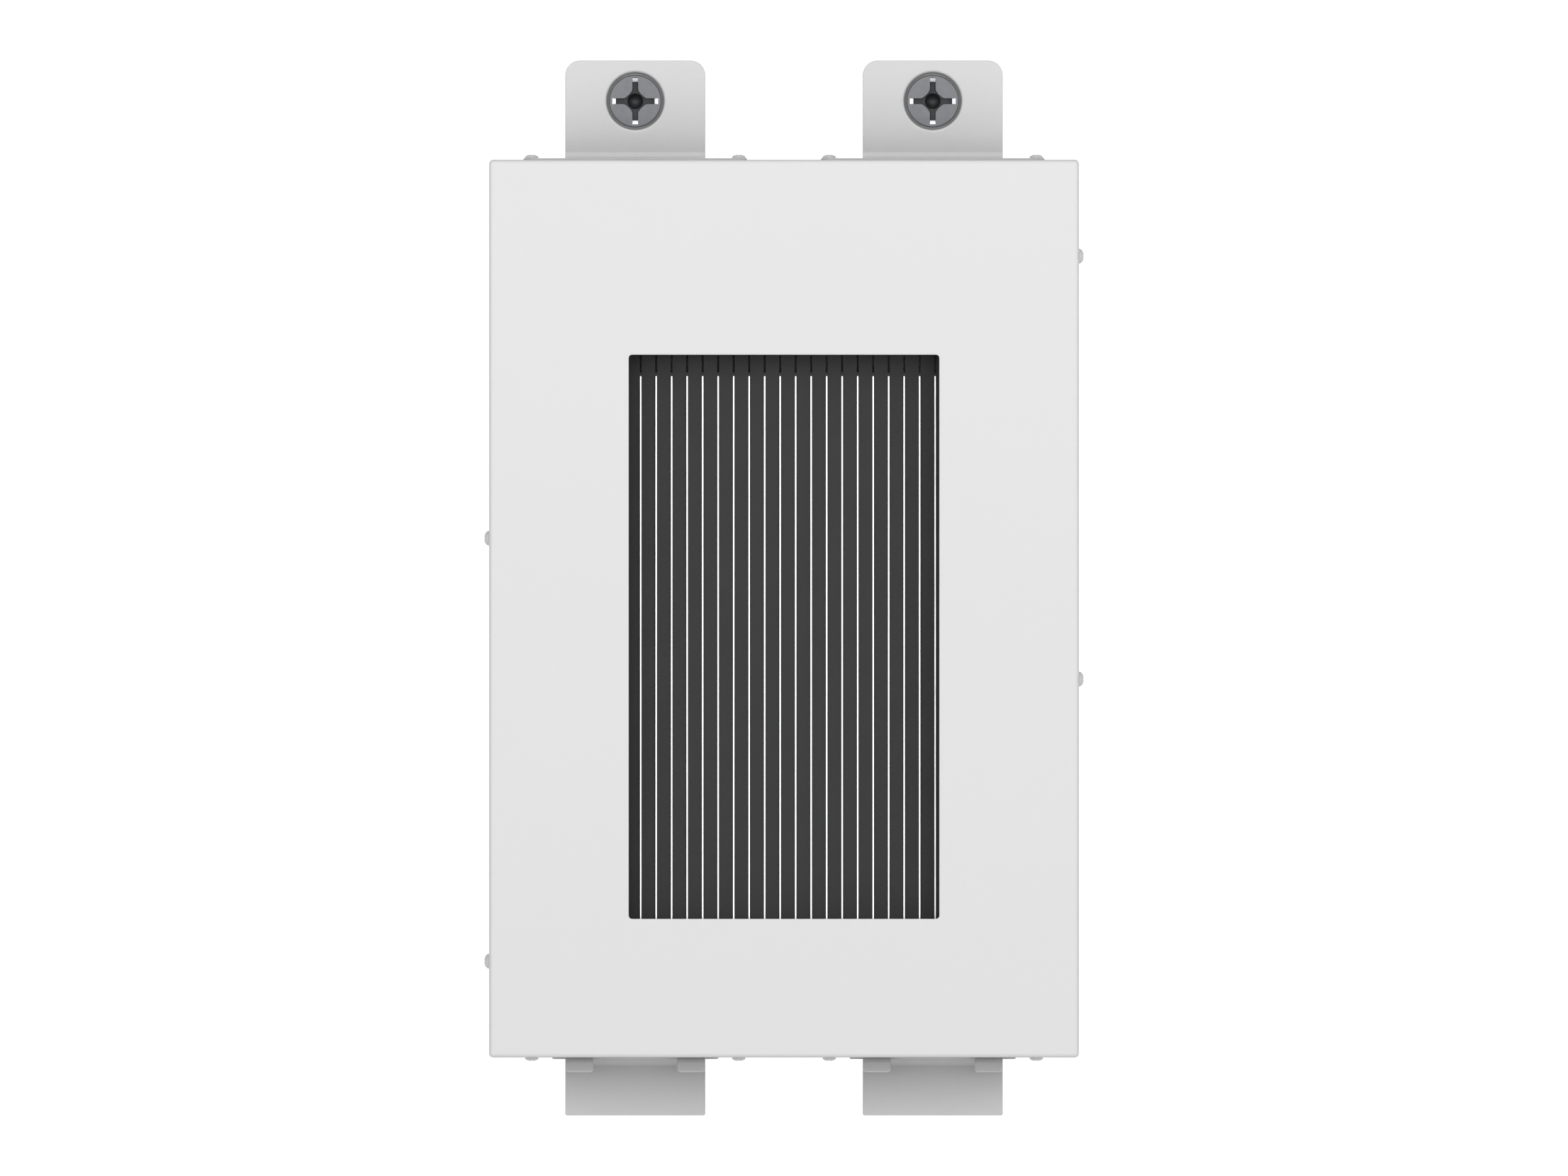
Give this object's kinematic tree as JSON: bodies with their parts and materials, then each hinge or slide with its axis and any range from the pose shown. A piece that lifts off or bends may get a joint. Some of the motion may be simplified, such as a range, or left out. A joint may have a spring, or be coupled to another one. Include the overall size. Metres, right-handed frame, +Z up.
{
  "type": "micro inverter",
  "caption": "Flat white steel micro inverter case with a finned heatsink in its front window, hung on a wall or rail by two screwed tabs with two hook tabs below.",
  "frame": {"origin": "centre of the flat rear face of the case, in the plane that lies against the wall", "axes": "+X to the right seen from the front, +Y into the wall, +Z up along the case; the window faces -Y"},
  "size_m": [0.183, 0.062, 0.322],
  "materials": {
    "white_paint": "white powder coat, semi-gloss, fine texture",
    "grey_paint": "light grey powder coat, semi-gloss",
    "zinc_plated": "grey zinc-plated steel, satin",
    "black_coated": "matt black coating",
    "bare_aluminium": "bright bare aluminium",
    "black_rubber": "matt black rubber",
    "board_green": "green solder-masked glass laminate",
    "clear_film": "pale insulating film",
    "grey_silicone": "grey silicone thermal pad",
    "black_epoxy": "black moulded epoxy",
    "ferrite": "dark sintered ferrite",
    "yellow_tape": "yellow polyester winding tape",
    "capacitor_sleeve": "dark blue shrink sleeve",
    "grey_box_plastic": "grey moulded box",
    "enamelled_copper": "enamelled copper wire",
    "blue_plastic": "blue moulded box",
    "ceramic_tube": "white ceramic tube",
    "green_plastic": "green moulded plastic"
  },
  "bodies": {
    "inverter": {"front_cover": "white_paint", "rear_chassis": "white_paint", "hanging_bracket_left": "grey_paint", "hook_bracket_left": "grey_paint", "hanging_bracket_right": "grey_paint", "hook_bracket_right": "grey_paint", "bracket_screw_1": "grey_paint", "bottom_cover_screw_1": "white_paint", "side_cover_screw_1": "white_paint", "hook_rivet_1": "zinc_plated", "heatsink_pillar_1": "zinc_plated", "heatsink_screw_1": "zinc_plated", "power_transistor_1": "black_epoxy", "bulk_capacitor_1": "capacitor_sleeve", "bracket_screw_2": "grey_paint", "bottom_cover_screw_2": "white_paint", "side_cover_screw_2": "white_paint", "hook_rivet_2": "zinc_plated", "heatsink_pillar_2": "zinc_plated", "heatsink_screw_2": "zinc_plated", "power_transistor_2": "black_epoxy", "bulk_capacitor_2": "capacitor_sleeve", "bracket_screw_3": "grey_paint", "bottom_cover_screw_3": "white_paint", "side_cover_screw_3": "white_paint", "hook_rivet_3": "zinc_plated", "heatsink_pillar_3": "zinc_plated", "heatsink_screw_3": "zinc_plated", "power_transistor_3": "black_epoxy", "bulk_capacitor_3": "capacitor_sleeve", "bracket_screw_4": "grey_paint", "bottom_cover_screw_4": "white_paint", "side_cover_screw_4": "white_paint", "hook_rivet_4": "zinc_plated", "heatsink_pillar_4": "zinc_plated", "heatsink_screw_4": "zinc_plated", "power_transistor_4": "black_epoxy", "bulk_capacitor_4": "capacitor_sleeve", "dc_inlet_grommet_1": "black_rubber", "dc_inlet_grommet_2": "black_rubber", "ac_outlet_grommet": "black_rubber", "window_gasket": "black_rubber", "heatsink": "bare_aluminium", "heatsink_guard": "black_coated", "circuit_board": "board_green", "insulation_sheet": "clear_film", "thermal_pad": "grey_silicone", "transformer_core": "ferrite", "transformer_winding": "yellow_tape", "film_capacitor": "grey_box_plastic", "common_mode_choke": "enamelled_copper", "output_relay": "blue_plastic", "line_fuse": "ceramic_tube", "dc_terminal_block": "green_plastic", "ac_terminal_block": "green_plastic", "control_board": "board_green", "control_chip": "black_epoxy"},
    "left_screw": {"mounting_screw_left": "zinc_plated"},
    "right_screw": {"mounting_screw_right": "zinc_plated"}
  },
  "joints": [
    {"name": "left_screw_turn", "type": "hinge", "parent": "inverter", "child": "left_screw", "pos_m": [-0.0454, -0.0015, 0.1549], "axis": [0, -1, 0], "continuous": true},
    {"name": "right_screw_turn", "type": "hinge", "parent": "inverter", "child": "right_screw", "pos_m": [0.0454, -0.0015, 0.1549], "axis": [0, -1, 0], "continuous": true}
  ]
}
